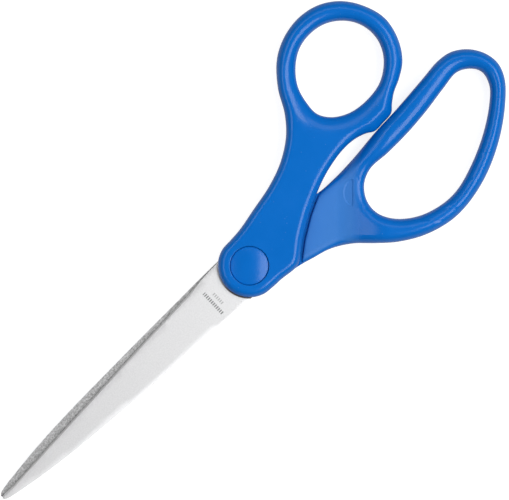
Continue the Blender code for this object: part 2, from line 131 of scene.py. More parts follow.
# Outlines in plan, in millimetres, anticlockwise from the boss's nose
THUMB_NECK = [(-12.6, 9.4), (-17.7, 5.3), (-24.2, 1.1), (-30.7, -2.2), (-37.4, -4.8)]
FINGER_NECK = [(-37.7, -1.7), (-30.7, -2.0), (-24.0, -4.3), (-18.0, -7.2), (-12.4, -9.9)]
THUMB_RING = [
    (-45.5, -6.5), (-50.8, -6.4), (-54.6, -5.3), (-57.0, -4.0), (-60.7, -4.1), (-64.6, -4.6),
    (-66.7, -6.5), (-69.6, -8.7), (-73.8, -10.8), (-78.3, -14.1), (-81.9, -20.0), (-83.3, -27.4),
    (-81.2, -34.6), (-77.0, -40.6), (-71.0, -44.5), (-64.0, -45.8), (-56.5, -44.5), (-50.0, -40.9),
    (-44.2, -34.2), (-40.3, -27.0), (-35.7, -21.5), (-28.9, -16.8), (-21.3, -13.8), (-13.1, -11.9),
    (-5.4, -10.2),
]
THUMB_HOLE = [
    (-47.5, -24.5), (-47.6, -20.0), (-50.2, -16.2), (-55.2, -13.4), (-61.7, -12.6), (-68.6, -13.9),
    (-74.1, -18.0), (-76.8, -22.8), (-77.3, -27.6), (-76.0, -32.2), (-73.2, -35.9), (-68.8, -38.8),
    (-63.3, -39.8), (-57.7, -38.8), (-52.8, -35.5), (-49.0, -30.4),
]
FINGER_LOOP = [
    (-4.5, 9.7), (-11.2, 10.5), (-16.1, 11.7), (-22.0, 13.3), (-28.1, 16.8), (-33.4, 21.6),
    (-38.7, 26.0), (-46.3, 30.2), (-55.2, 32.5), (-63.0, 32.3), (-73.2, 29.6), (-83.8, 24.2),
    (-92.6, 17.4), (-97.6, 11.8), (-99.4, 6.8), (-98.6, 1.9), (-95.7, -2.6), (-91.3, -5.6),
    (-86.3, -6.4), (-79.0, -5.6), (-65.2, -4.1), (-56.8, -3.5), (-45.2, -2.1),
]
FINGER_HOLE = [
    (-40.4, 10.3), (-40.2, 15.3), (-43.1, 20.4), (-49.1, 24.8), (-56.6, 27.0), (-63.1, 27.0),
    (-71.1, 24.6), (-80.7, 20.0), (-88.6, 14.5), (-92.8, 10.1), (-94.0, 5.5), (-92.2, 2.3),
    (-88.2, 0.1), (-81.6, 0.9), (-73.0, 2.4), (-64.0, 3.4), (-55.4, 3.7), (-48.0, 3.6), (-43.4, 5.8),
]
THUMB_CORNER = [(-4.5, 9.8), (-10.2, 10.2)]
FINGER_CORNER = [(-10.4, -10.2), (-4.5, -9.8)]
THUMB_NECK_AT = (-36.0, -10.0)  # where each neck meets its ring
FINGER_NECK_AT = (-30.0, 8.0)
LUG_CENTRE = (-60.8, -2.5)
# Where a handle rises from the low side of its neck to its ring: heading in degrees, its foot and its crest
FINGER_RAMP = (137.0, 27.0, 44.0)
THUMB_RAMP = (203.0, 44.0, 53.0)
PAD_CENTRE = (-39.0, 5.4)  # the moulding's pad beside the finger hole
PAD_RADII = (2.9, 4.2)
PAD_DEPTH = 0.2
PAD_WALL = 0.15
BLADE_SPINE = [
    (0.0, 7.6), (30.0, 7.0), (50.0, 6.25), (70.0, 5.3), (80.0, 4.65), (90.0, 3.65), (97.0, 2.7),
    (102.0, 1.95), (104.5, 1.3),
]
BLADE_EDGE = [
    (104.9, -0.15), (100.0, -0.3), (80.0, -2.0), (60.0, -3.55), (45.0, -4.7), (20.0, -6.4), (10.0, -7.3),
]
BLADE_TIP = [(105.4, 0.5)]
BLADE_TANG = [
    (0.0, -7.6), (-9.0, -7.8), (-17.0, -9.3), (-25.0, -11.6), (-30.5, -12.9), (-33.0, -10.6),
    (-31.0, -7.4), (-25.0, -4.4), (-19.0, -1.2), (-12.0, 3.2), (-6.0, 6.6),
]
GRIND_RUN_OUT = (6.0, -8.9)
GRIND_PAST_TIP = (109.0, 0.5)

# Finishes: colours, the range of each gloss and the sizes of their marks
SATIN_BLUE = (0.0, 0.134, 0.520, 1.0)
SATIN_BLUE_DEEP = (0.0, 0.12462, 0.4836, 1.0)
# the low side's matt blues, paled by a painted sheen of the light above
SHEENED_MATT_BLUE = (0.022, 0.160, 0.512, 1.0)
SHEENED_MATT_BLUE_PALE = (0.030, 0.175, 0.532, 1.0)
WORN_BLUE = (0.16, 0.32, 0.64, 1.0)
SATIN_ROUGHNESS = 0.16
MATT_ROUGHNESS = 0.46
MOULDING_SHEEN = 0.27
MOULDING_TEXTURE_SCALE = 7000.0
MOULDING_TEXTURE_DEPTH = 0.008 * MM
FLOW_SCALE = 70.0
SPECK_SCALE = 420.0
SPECK_SIZE = (0.05, 0.09)
SCRATCH_STRETCH = (500.0, 6500.0, 500.0)
SCRATCH_LEVELS = (0.70, 0.76)
PATCH_SCALE = 120.0
PATCH_LEVELS = (0.55, 0.7)
MATT_SHEEN_FADE = (4.5, 8.0)  # past a ramp's foot, where the matt tone with its painted sheen ends
MATT_SHEEN_RIM = (-0.6, -0.15)  # and over a neck's rim, from its low side's level
TURNED_STRETCH = (900.0, 900.0, 2400.0)
# Each steel: two greys, the range of its gloss, its lines' stretch, its blotches' scale, its lines' depth
STEELS = {
    "blade_face_steel": ((0.74, 0.84), (0.42, 0.52), (6000.0, 900.0, 900.0), 2200.0, 0.002 * MM),
    # the blades' inner faces: real cross-grain lines, with darker greys that paint the shade on the lower
    # blade's strip beside the upper blade's edge
    "blade_inner_shaded_steel": ((0.24, 0.74), (0.42, 0.56), (5200.0, 2200.0, 900.0), 2000.0, 0.004 * MM),
    "screw_steel": ((0.42, 0.56), (0.22, 0.36), TURNED_STRETCH, 900.0, 0.003 * MM),
    "nut_steel": ((0.36, 0.50), (0.30, 0.44), TURNED_STRETCH, 900.0, 0.005 * MM),
    "spring_steel": ((0.22, 0.34), (0.28, 0.42), TURNED_STRETCH, 900.0, 0.004 * MM),
    "washer_steel": ((0.40, 0.54), (0.28, 0.42), TURNED_STRETCH, 900.0, 0.004 * MM),
}
PIVOT_STEELS = {
    "pivot_screw": "screw_steel",
    "pivot_nut": "nut_steel",
    "spring_washer": "spring_steel",
    "nut_washer": "washer_steel",
}
STEEL_TINT = 1.01  # how much bluer than grey
LINES_SHARE = 0.35  # of the grinding lines in a steel's tone, where the blotches have the rest
TICKS_PER_MM = 1.35
TICK_INK = (0.3, 0.75)  # from where to where each tick's share of its row is dark
LONG_TICKS = ((15.7, 16.8), (-3.4, 5.2), 0.85)  # where along and across the blade, and how dark
SHORT_TICKS = ((13.6, 14.6), (-1.4, 3.1), 0.45)
# the grey of the etched strokes, also used for the painted shadow at the boss
ETCH_AND_SHADOW_GREY = (0.04, 0.04, 0.045, 1.0)
ETCH_SOFT = 0.12
ETCHED_FACE = (0.1, 0.05)  # below the face's level, where the etching starts and is full
BOSS_SHADOW_LINE = (9.6, 10.25)  # the painted shadow line where the blade leaves the boss
BOSS_SHADOW_FADE = (-7.0, 2.0)  # across the blade
# how dark the painted shadow at the boss is, from one side of the blade to the other
BOSS_SHADOW_DARKNESS = (0.1, 0.95)
NYLON = (0.74, 0.73, 0.68, 1.0)
NYLON_PALE = (0.82, 0.81, 0.77, 1.0)
NYLON_ROUGHNESS = 0.42
NYLON_GLOSS = (0.35, 0.5)
NYLON_TEXTURE_SCALE = 4000.0
PAPER_GREY = (0.35, 0.35, 0.35, 1.0)
PAPER_ROUGHNESS = 0.9
WHITE = (1.0, 1.0, 1.0, 1.0)

# The studio, in metres and degrees: each softbox leans to the view's right and up
LIGHT_DISTANCE = 1.0
SOFTBOXES = {
    "key_softbox": (33.0, -5.0, (0.6, 1.1), 5.2),
    "fill_softbox": (-40.0, 8.0, (0.4, 1.0), 2.2),
    "top_softbox": (0.0, 38.0, (1.0, 0.3), 1.5),
}
SKY_STRENGTH = 0.15
PAPER_GLOW = (0.2, 0.85)  # on what lies on it, and to the eye
FLOOR_HALF_WIDTH = 3.0
FLOOR_GAP = 0.02 * MM  # keeps the floor off the faces that rest on it
VIEW_CENTRE = (-4.47 * MM, -2.50 * MM)
VIEW_WIDTH = 158.3 * MM
LENS = 400.0
SENSOR = 36.0


# Lines in plan

def lengths(steps):
    return np.hypot(steps[..., 0], steps[..., 1])


def smooth_loop(points, spacing):
    """A closed smooth curve through the points, as points at about the spacing given."""
    start = np.array(points, float)
    before, end, after = np.roll(start, 1, 0), np.roll(start, -1, 0), np.roll(start, -2, 0)
    first = np.sqrt(lengths(start - before))[:, None]
    second = np.sqrt(lengths(end - start))[:, None]
    third = np.sqrt(lengths(after - end))[:, None]
    leave = end - start + second * ((start - before) / first - (end - before) / (first + second))
    arrive = end - start + second * ((after - end) / third - (after - start) / (second + third))
    rows = []
    for t in np.arange(0, 1, 1 / CURVE_STEPS):
        rows.append(
            (1 - t) ** 3 * start + 3 * (1 - t) ** 2 * t * (start + leave / 3)
            + 3 * (1 - t) * t ** 2 * (end - arrive / 3) + t ** 3 * end
        )
    dense = np.stack(rows, 1).reshape(-1, 2)
    return evenly(np.vstack([dense, dense[:1]]), spacing)[:-1]


def evenly(line, spacing):
    """The open line with its points at even steps."""
    run = np.concatenate([[0.0], np.cumsum(lengths(np.diff(line, axis=0)))])
    count = max(2, round(run[-1] / spacing) + 1)
    at = np.linspace(0, run[-1], count)
    return np.stack([np.interp(at, run, line[:, 0]), np.interp(at, run, line[:, 1])], 1)


def circle(radius, spacing):
    turns = np.linspace(0, 2 * math.pi, max(48, round(2 * math.pi * radius / spacing)), endpoint=False)
    return radius * np.stack([np.cos(turns), np.sin(turns)], 1)


def right_of(line, distance, closed=True):
    """The line moved to its right, which is outwards for an anticlockwise loop."""
    if closed:
        along = np.roll(line, -1, 0) - np.roll(line, 1, 0)
    else:
        along = np.gradient(line, axis=0)
    along = along / lengths(along)[:, None]
    return line + distance * np.stack([along[:, 1], -along[:, 0]], 1)


def nearest(points, line, closed=True):
    """How far each point is from the line, and on which side: positive on its right."""
    start = line if closed else line[:-1]
    along = (np.roll(line, -1, 0) - line) if closed else np.diff(line, axis=0)
    found = np.empty(len(points))
    for block in np.array_split(np.arange(len(points)), len(points) // 1500 + 1):
        reach = points[block, None] - start
        share = np.clip((reach * along).sum(2) / (along ** 2).sum(1), 0, 1)
        gap = reach - share[..., None] * along
        best = lengths(gap).argmin(1)
        rows = np.arange(len(block))
        turn = along[best, 0] * gap[rows, best, 1] - along[best, 1] * gap[rows, best, 0]
        found[block] = -np.sign(turn) * lengths(gap[rows, best])
    return found


def inside(points, loop):
    """Which points lie within the loop."""
    start, end = loop, np.roll(loop, -1, 0)
    found = np.zeros(len(points), bool)
    for block in np.array_split(np.arange(len(points)), len(points) // 3000 + 1):
        x, y = points[block, 0][:, None], points[block, 1][:, None]
        spans = (start[:, 1] > y) != (end[:, 1] > y)
        rise = np.where(end[:, 1] == start[:, 1], 1.0, end[:, 1] - start[:, 1])
        cross = start[:, 0] + (y - start[:, 1]) / rise * (end[:, 0] - start[:, 0])
        found[block] = (spans & (x < cross)).sum(1) % 2 == 1
    return found


def turned_over(points):
    """The loop mirrored in the X axis, still anticlockwise."""
    return np.array([(x, -y) for x, y in points[::-1]])


def boss_arc():
    turns = [math.radians(degrees) for degrees in range(-96, 97, 24)]
    return [(BOSS_RADIUS * math.cos(turn), BOSS_RADIUS * math.sin(turn)) for turn in turns]


# Heights over the plan

def mix(low, high, share):
    return low + (high - low) * share


def eased(low, high, value):
    share = np.clip((value - low) / (high - low), 0, 1)
    return share * share * (3 - 2 * share)


def rounded(share):
    """The profile of a quarter round: 0 at the edge, 1 from its far end on."""
    return np.sqrt(1 - (1 - np.clip(share, 0, 1)) ** 2)


# Meshes between two heights

def spread_points(loops, hole_loops, steps, grid):
    """Points that fill the plan: rows that follow each edge, then an even grid where the rows end."""
    edges = [*loops, *hole_loops]
    rows = []
    for number, loop in enumerate(edges):
        inwards = -1 if number < len(loops) else 1
        for step in steps:
            row = right_of(loop, inwards * step)
            clear = np.min([abs(nearest(row, other)) for other in edges], 0)
            rows.append(row[clear > ROW_CLEARANCE * step])
    low, high = np.vstack(edges).min(0), np.vstack(edges).max(0)
    x, y = np.meshgrid(np.arange(low[0], high[0], grid), np.arange(low[1], high[1], grid * GRID_ROW))
    x[1::2] += grid / 2
    even = np.stack([x.ravel(), y.ravel()], 1)
    even = even[within(even, loops, hole_loops)]
    clear = np.min([abs(nearest(even, other)) for other in edges], 0)
    rows.append(even[clear > steps[-1] + grid / 2])
    return np.vstack(rows)


def within(points, loops, hole_loops):
    found = np.any([inside(points, loop) for loop in loops], 0)
    for loop in hole_loops:
        found &= ~inside(points, loop)
    return found


def plan_mesh(loops, hole_loops, lines, free):
    """Triangles over the plan, with edges along every loop and line."""
    points, edges = [], []
    for loop in [*loops, *hole_loops]:
        first = len(points)
        points += list(loop)
        edges += [(first + i, first + (i + 1) % len(loop)) for i in range(len(loop))]
    for line in lines:
        first = len(points)
        points += list(line)
        edges += [(first + i, first + i + 1) for i in range(len(line) - 1)]
    points += list(free)
    found = delaunay_2d_cdt([Vector(point) for point in points], edges, [], 0, 1e-5)
    places = np.array([tuple(point) for point in found[0]])
    faces = np.array([face for face in found[2]])
    kept = within(places[faces].mean(1), loops, hole_loops)
    faces = faces[kept]
    used = np.unique(faces)
    renumbered = np.full(len(places), -1)
    renumbered[used] = np.arange(len(used))
    faces = renumbered[faces]
    corners = places[used][faces]
    first, second = corners[:, 1] - corners[:, 0], corners[:, 2] - corners[:, 0]
    clockwise = first[:, 0] * second[:, 1] - first[:, 1] * second[:, 0] < 0
    faces[clockwise] = faces[clockwise][:, ::-1]
    return places[used], faces


def shell(name, plan, side, outer, inner, sharp, seam=0.0, inner_slot=0):
    """A closed mesh over the plan, between its outer and inner heights, with a parting line round it."""
    places, faces = plan
    count = len(places)
    ends = np.concatenate([faces[:, [0, 1]], faces[:, [1, 2]], faces[:, [2, 0]]])
    keys = ends[:, 0] * count + ends[:, 1]
    open_ends = ends[~np.isin(keys, ends[:, 1] * count + ends[:, 0])]
    along = places[open_ends[:, 1]] - places[open_ends[:, 0]]
    outwards = np.zeros((count, 2))
    for end in (0, 1):
        np.add.at(outwards, open_ends[:, end], np.stack([along[:, 1], -along[:, 0]], 1))
    edge = np.unique(open_ends)
    outwards = outwards[edge] / lengths(outwards[edge])[:, None]
    low, high = inner(places), outer(places)
    rows = [np.column_stack([places, high]), np.column_stack([places, low])]
    seam_rows = ((PARTING_HALF_WIDTH, 0.0), (0.0, 1.0), (-PARTING_HALF_WIDTH, 0.0)) if seam else ()
    middle = (high + low)[edge] / 2
    for rise, share in seam_rows:
        rows.append(np.column_stack([places[edge] + share * seam * outwards, middle + rise]))
    points = np.vstack(rows)
    points[:, 2] = MEETING_Z + side * points[:, 2]
    row_of = np.full(count, -1)
    row_of[edge] = np.arange(len(edge))
    levels = [open_ends]
    for number in range(len(seam_rows)):
        levels.append(2 * count + number * len(edge) + row_of[open_ends])
    levels.append(open_ends + count)
    quads = []
    for upper, lower in zip(levels, levels[1:]):
        quads.append(np.column_stack([upper[:, 1], upper[:, 0], lower[:, 0], lower[:, 1]]))
    walls = np.vstack(quads)
    caps = np.vstack([faces, faces[:, ::-1] + count])
    if side < 0:
        walls, caps = walls[:, ::-1], caps[:, ::-1]
    mesh = bpy.data.meshes.new(name)
    mesh.from_pydata(points * MM, [], caps.tolist() + walls.tolist())
    mesh.update()
    number = np.arange(len(mesh.polygons)) // len(faces)
    mesh.polygons.foreach_set("material_index", np.where(number == 1, inner_slot, 0))
    piece = bpy.data.objects.new(name, mesh)
    bpy.context.scene.collection.objects.link(piece)
    mesh.shade_smooth()
    mesh.set_sharp_from_angle(angle=math.radians(sharp))
    return piece


def rim_steps(width):
    """Distances from an edge that follow its rounding, closest where it is steepest."""
    return [width * (1 - math.cos(math.radians(turn))) for turn in range(9, 91, 9)]


# Handles

class Handle:
    """The plan and the heights of a moulded handle. Side is 1 for the thumb half, -1 for the finger half."""

    def __init__(self, side, drawn, hole, other_neck, ramp, neck_at):
        self.side = side
        self.outline = smooth_loop(boss_arc() + drawn, HANDLE_EDGE_STEP)
        self.hole = smooth_loop(hole, HANDLE_EDGE_STEP)
        self.ramp = ramp
        self.neck_at = neck_at
        line = right_of(evenly(np.array(other_neck), LINE_STEP), SHOULDER_GAP, closed=False)
        before = line[0] + BOSS_RADIUS * (line[0] - line[1]) / lengths(line[0] - line[1])
        beyond = line[-1] + BOSS_RADIUS * (line[-1] - line[-2]) / lengths(line[-1] - line[-2])
        self.shoulder = evenly(np.vstack([before, line, beyond]), SHOULDER_STEP)

    def outer(self, places):
        edge = abs(nearest(places, self.outline))
        hole = abs(nearest(places, self.hole))
        ring = 1 - eased(RING_WIDTH, RING_FOOT, hole)
        towards = eased(*TOWARDS_NECK, self.facing_neck(places))
        rim = rounded(edge / mix(NECK_RIM[0], RING_RIM[0], ring))
        rim = rim * rounded(hole / mix(RING_RIM[0], HOLE_RIM_AT_NECK, towards))
        face = HALF_HEIGHT - self.lug_drop(places, hole)
        depth = np.minimum(mix(NECK_RIM[1], RING_RIM[1], ring), face - HALF_HEIGHT + RING_RIM[1])
        level = face - depth * (1 - rim)
        reach = lengths(places)
        level = level - SEAT_BREAK * (1 - rounded((reach - SEAT_RADIUS) / SEAT_BREAK))
        return np.where(reach < SEAT_RADIUS - SEAT_WALL / 2, SEAT_LEVEL, level)

    def lug_drop(self, places, hole):
        """How far the thumb ring's face lies below its crest, over its stop lug."""
        reach = lengths(places - np.array(LUG_CENTRE))
        over = (self.side > 0) * (1 - eased(LUG_RADIUS / 3, LUG_RADIUS, reach))
        past = hole - LUG_RIDGE
        return over * LUG_SLOPE * (np.sqrt(past ** 2 + RIDGE_ROUNDING ** 2) + past) / 2

    def facing_neck(self, places):
        """How much a place lies on the pivot's side of the ring's middle: from -1 to 1."""
        middle = self.hole.mean(0)
        reach = places - middle
        axis = np.array(self.neck_at) - middle
        return (reach @ axis) / (lengths(reach) * lengths(axis))

    def inner(self, places):
        edge = abs(nearest(places, self.outline))
        hole = abs(nearest(places, self.hole))
        heading, foot, crest = self.ramp
        along = places @ np.array([math.cos(math.radians(heading)), math.sin(math.radians(heading))])
        ring = eased(foot, crest, along)
        round_rim = eased(foot - ROUND_RUN, foot + ROUND_RUN, along)
        rim = rounded(edge / mix(INNER_RIM[0], RING_RIM[0], round_rim)) * rounded(hole / HOLE_RIM)
        level = mix(-NECK_SKIN, -HALF_HEIGHT, ring)
        level = level + mix(INNER_RIM[1], RING_RIM[1], round_rim) * (1 - rim)
        if self.side < 0:
            level = level + PAD_DEPTH * np.clip(-nearest(places, pad_outline()) / PAD_WALL, 0, 1)
        over = nearest(places, self.shoulder, closed=False)
        width, depth = SHOULDER_ROUNDING
        level = level + depth * (1 - rounded(over / width)) * (over > -1e-3)
        face = mix(CROSSING_FACE, CROSSING_SKIN, eased(*CROSSING_STEP, lengths(places)))
        crossing = np.clip(-over / SHOULDER_RUN, 0, 1)
        return mix(level, face, crossing)

    def mesh(self, name):
        bore = circle(BORE_RADIUS, HANDLE_EDGE_STEP)
        steps = rim_steps(RING_RIM[0])
        lines = [self.shoulder, right_of(self.shoulder, -SHOULDER_RUN, closed=False)]
        if self.side < 0:
            for inwards in (0.0, PAD_WALL):
                pad = right_of(pad_outline(), -inwards)
                lines.append(np.vstack([pad, pad[:1]]))
        lines += [right_of(self.shoulder, row, closed=False) for row in SHOULDER_ROWS]
        for step in (-SEAT_WALL, 0.0, 0.4 * SEAT_BREAK, SEAT_BREAK):
            ring = circle(SEAT_RADIUS + step, SEAT_STEP)
            lines.append(np.vstack([ring, ring[:1]]))
        free = spread_points([self.outline], [self.hole], steps, HANDLE_GRID)
        free = free[lengths(free) > SEAT_RADIUS + 2 * SEAT_BREAK]
        plan = plan_mesh([self.outline], [self.hole, bore], lines, free)
        return shell(name, plan, self.side, self.outer, self.inner, HANDLE_SHARP, PARTING_HEIGHT)


def pad_outline():
    """A half oval on the low side of the finger handle, whose straight side runs across the ramp."""
    heading = math.radians(FINGER_RAMP[0])
    along = np.array([math.cos(heading), math.sin(heading)])
    across = np.array([along[1], -along[0]])
    turns = np.radians(np.arange(90, 271, 15))[:, None]
    oval = PAD_RADII[0] * np.cos(turns) * along - PAD_RADII[1] * np.sin(turns) * across
    return evenly(np.array(PAD_CENTRE) + np.vstack([oval, oval[:1]]), PAD_STEP)[:-1]


# Blades

class Blade:
    """The plan and the heights of one blade, with its tang."""

    def __init__(self, side):
        drawn = BLADE_EDGE[::-1] + BLADE_TIP + BLADE_SPINE[::-1] + BLADE_TANG[::-1]
        edge = [GRIND_RUN_OUT, *BLADE_EDGE[-2::-1], GRIND_PAST_TIP]
        self.side = side
        self.outline = smooth_loop(drawn if side > 0 else turned_over(drawn), BLADE_EDGE_STEP)
        self.edge = evenly(np.array(edge) * (1, side), LINE_STEP)
        self.corner_lines = []
        for share in (-1.0, -0.5, 0.0, 0.5, 1.0):
            inset = GRIND_WIDTH + share * GRIND_CORNER
            self.corner_lines.append(right_of(self.edge, -side * inset, closed=False))

    def outer(self, places):
        edge = abs(nearest(places, self.outline))
        ground = -self.side * nearest(places, self.edge, closed=False)
        slope = (BLADE_OUTER - BLADE_INNER - EDGE_LAND) / GRIND_WIDTH
        past = GRIND_WIDTH - ground
        corner = np.clip(past + GRIND_CORNER, 0, 2 * GRIND_CORNER) ** 2 / (4 * GRIND_CORNER)
        level = BLADE_OUTER - slope * np.where(past > GRIND_CORNER, past, corner)
        return level - BLADE_BREAK * (1 - rounded(edge / BLADE_BREAK))

    def inner(self, places):
        edge = abs(nearest(places, self.outline))
        return BLADE_INNER + BLADE_BREAK / 3 * (1 - rounded(edge / BLADE_BREAK))

    def mesh(self, name):
        hole = circle(PIVOT_HOLE, BLADE_HOLE_STEP)
        free = spread_points([self.outline], [hole], [0.02, BLADE_BREAK / 2, BLADE_BREAK], BLADE_GRID)
        plan = plan_mesh([self.outline], [hole], self.corner_lines, free)
        return shell(name, plan, self.side, self.outer, self.inner, BLADE_SHARP, inner_slot=1)


# Materials

class Nodes:
    """Shorthand for laying out the nodes of one material or node group."""

    def __init__(self, tree):
        self.tree = tree

    def add(self, kind, values=None, **settings):
        node = self.tree.nodes.new(kind)
        for name, value in settings.items():
            setattr(node, name, value)
        for name, value in (values or {}).items():
            self.feed(node.inputs[name], value)
        return node

    def feed(self, socket, value):
        if isinstance(value, bpy.types.NodeSocket):
            self.tree.links.new(value, socket)
        else:
            socket.default_value = value

    def math(self, operation, first, second=0.0, clamp=False):
        node = self.add("ShaderNodeMath", operation=operation, use_clamp=clamp)
        self.feed(node.inputs[0], first)
        self.feed(node.inputs[1], second)
        return node.outputs[0]

    def scaled(self, value, factor):
        return self.math("MULTIPLY", value, factor)

    def blend(self, share, low, high):
        node = self.add("ShaderNodeMix", data_type="RGBA")
        self.feed(node.inputs[0], share)
        self.feed(node.inputs[6], low)
        self.feed(node.inputs[7], high)
        return node.outputs[2]

    def ranged(self, value, low, high, new_low, new_high):
        names = ("Value", "From Min", "From Max", "To Min", "To Max")
        node = self.add("ShaderNodeMapRange", dict(zip(names, (value, low, high, new_low, new_high))))
        return node.outputs[0]

    def noise(self, place, scale, detail=3.0, roughness=0.55):
        values = {"Vector": place, "Scale": scale, "Detail": detail, "Roughness": roughness}
        return self.add("ShaderNodeTexNoise", values).outputs[0]

    def stretched(self, place, stretch):
        node = self.add("ShaderNodeVectorMath", operation="MULTIPLY")
        self.feed(node.inputs[0], place)
        self.feed(node.inputs[1], stretch)
        return node.outputs[0]

    def place(self):
        return self.add("ShaderNodeTexCoord").outputs["Object"]

    def millimetres(self, place):
        """The place's X, Y and Z in millimetres."""
        return self.add("ShaderNodeSeparateXYZ", {"Vector": self.stretched(place, (1 / MM,) * 3)}).outputs

    def bumped(self, height, depth, strength):
        values = {"Height": height, "Distance": depth, "Strength": strength}
        return self.add("ShaderNodeBump", values).outputs["Normal"]

    def group(self, tree, values):
        node = self.add("ShaderNodeGroup", node_tree=tree)
        for name, value in values.items():
            self.feed(node.inputs[name], value)
        return node.outputs


def new_group(name, inputs, outputs):
    """An empty node group whose sockets are floats, or vectors if named Place or Stretch, and its nodes."""
    tree = bpy.data.node_groups.new(name, "ShaderNodeTree")
    for socket in inputs:
        kind = "NodeSocketVector" if socket in ("Place", "Stretch") else "NodeSocketFloat"
        tree.interface.new_socket(socket, in_out="INPUT", socket_type=kind)
    for socket in outputs:
        tree.interface.new_socket(socket, in_out="OUTPUT", socket_type="NodeSocketFloat")
    nodes = Nodes(tree)
    return tree, nodes, nodes.add("NodeGroupInput").outputs, nodes.add("NodeGroupOutput").inputs


def moulding_skin_group():
    """The skin of a moulding: broad flow clouds, fine spark texture, pale specks and hair scratches."""
    tree, nodes, given, made = new_group(
        "moulding_skin", ("Place", "Texture Scale"), ("Clouds", "Texture", "Specks", "Scratches")
    )
    place = given["Place"]
    clouds = nodes.noise(place, FLOW_SCALE, 4.0, 0.6)
    nodes.feed(made["Clouds"], nodes.ranged(clouds, 0.3, 0.7, 0.0, 1.0))
    nodes.feed(made["Texture"], nodes.noise(place, given["Texture Scale"], 2.0))
    cells = nodes.add("ShaderNodeTexVoronoi", {"Vector": place, "Scale": SPECK_SCALE})
    nodes.feed(made["Specks"], nodes.ranged(cells.outputs["Distance"], *SPECK_SIZE, 1.0, 0.0))
    lines = nodes.noise(nodes.stretched(place, SCRATCH_STRETCH), 1.0, 1.0)
    patches = nodes.ranged(nodes.noise(place, PATCH_SCALE, 1.0), *PATCH_LEVELS, 0.0, 1.0)
    scratches = nodes.math("MULTIPLY", nodes.ranged(lines, *SCRATCH_LEVELS, 0.0, 1.0), patches)
    nodes.feed(made["Scratches"], scratches)
    return tree


def brushed_group():
    """Grinding lines that run one way, with blotches where the wheel pressed harder."""
    tree, nodes, given, made = new_group(
        "brushed_steel", ("Place", "Stretch", "Blotch Scale"), ("Lines", "Blotches")
    )
    fine = nodes.noise(nodes.stretched(given["Place"], given["Stretch"]), 1.0, 3.0, 0.7)
    nodes.feed(made["Lines"], nodes.ranged(fine, 0.25, 0.75, 0.0, 1.0))
    blotches = nodes.noise(given["Place"], given["Blotch Scale"], 4.0, 0.65)
    nodes.feed(made["Blotches"], nodes.ranged(blotches, 0.36, 0.64, 0.0, 1.0))
    return tree


def new_material(name, colour, roughness, metallic=0.0):
    """A material, its nodes, and the sockets of its shader."""
    material = bpy.data.materials.new(name)
    material.use_nodes = True
    shader = material.node_tree.nodes["Principled BSDF"].inputs
    shader["Base Color"].default_value = colour
    shader["Roughness"].default_value = roughness
    shader["Metallic"].default_value = metallic
    return material, Nodes(material.node_tree), shader


def blue_plastic(name, skin, ramp=None, low_level=0.0):
    """Moulded blue plastic, duller on the low side of a neck, which the other half slides over, and paler
    there by a painted sheen.
    """
    material, nodes, shader = new_material(name, SATIN_BLUE, SATIN_ROUGHNESS)
    place = nodes.place()
    marks = nodes.group(skin, {"Place": place, "Texture Scale": MOULDING_TEXTURE_SCALE})
    clouds = marks["Clouds"]
    worn = nodes.math("MAXIMUM", nodes.scaled(marks["Specks"], 0.5), marks["Scratches"])
    tone = nodes.blend(clouds, SATIN_BLUE_DEEP, SATIN_BLUE)
    tone = nodes.blend(nodes.scaled(worn, 0.3), tone, WORN_BLUE)
    dull = nodes.math("ADD", nodes.scaled(clouds, 0.1), nodes.scaled(worn, 0.15))
    gloss = nodes.math("ADD", SATIN_ROUGHNESS, dull)
    if ramp:
        # painted sheen: the low side's colour is paled as if it reflected the light above, while its gloss is
        # really made duller
        matt_sheen = matt_sheen_mask(nodes, place, ramp, low_level)
        tone = nodes.blend(matt_sheen, tone, nodes.blend(clouds, SHEENED_MATT_BLUE, SHEENED_MATT_BLUE_PALE))
        gloss = nodes.ranged(matt_sheen, 0.0, 1.0, gloss, MATT_ROUGHNESS)
    nodes.feed(shader["Base Color"], tone)
    nodes.feed(shader["Roughness"], gloss)
    shader["Specular IOR Level"].default_value = MOULDING_SHEEN
    nodes.feed(shader["Normal"], nodes.bumped(marks["Texture"], MOULDING_TEXTURE_DEPTH, 0.5))
    return material


def matt_sheen_mask(nodes, place, ramp, low_level):
    """Where the low side's duller gloss and painted sheen go: 1 on the low side of a neck, fading out over
    its rim and up its ramp.
    """
    heading, foot = math.radians(ramp[0]), ramp[1]
    x, y, z = nodes.millimetres(place)
    along = nodes.math("ADD", nodes.scaled(x, math.cos(heading)), nodes.scaled(y, math.sin(heading)))
    near = nodes.ranged(along, foot + MATT_SHEEN_FADE[0], foot + MATT_SHEEN_FADE[1], 1.0, 0.0)
    side = math.copysign(1, low_level - MEETING_Z)
    rise = nodes.scaled(nodes.math("SUBTRACT", z, low_level), side)
    return nodes.math("MULTIPLY", near, nodes.ranged(rise, *MATT_SHEEN_RIM, 0.0, 1.0))


def steel(name, brushed):
    """Ground steel between two greys, with its grinding lines stretched across or along the piece."""
    tones, gloss, stretch, blotch_scale, depth = STEELS[name]
    dark, light = [(tone, tone, tone * STEEL_TINT, 1.0) for tone in tones]
    material, nodes, shader = new_material(name, dark, gloss[0], 1.0)
    values = {"Place": nodes.place(), "Stretch": stretch, "Blotch Scale": blotch_scale}
    marks = nodes.group(brushed, values)
    lines = nodes.scaled(marks["Lines"], LINES_SHARE)
    mixed = nodes.math("ADD", lines, nodes.scaled(marks["Blotches"], 1 - LINES_SHARE))
    nodes.feed(shader["Base Color"], nodes.blend(mixed, dark, light))
    nodes.feed(shader["Roughness"], nodes.ranged(mixed, 0.0, 1.0, *gloss))
    nodes.feed(shader["Normal"], nodes.bumped(marks["Lines"], depth, 0.4))
    return material, nodes, shader


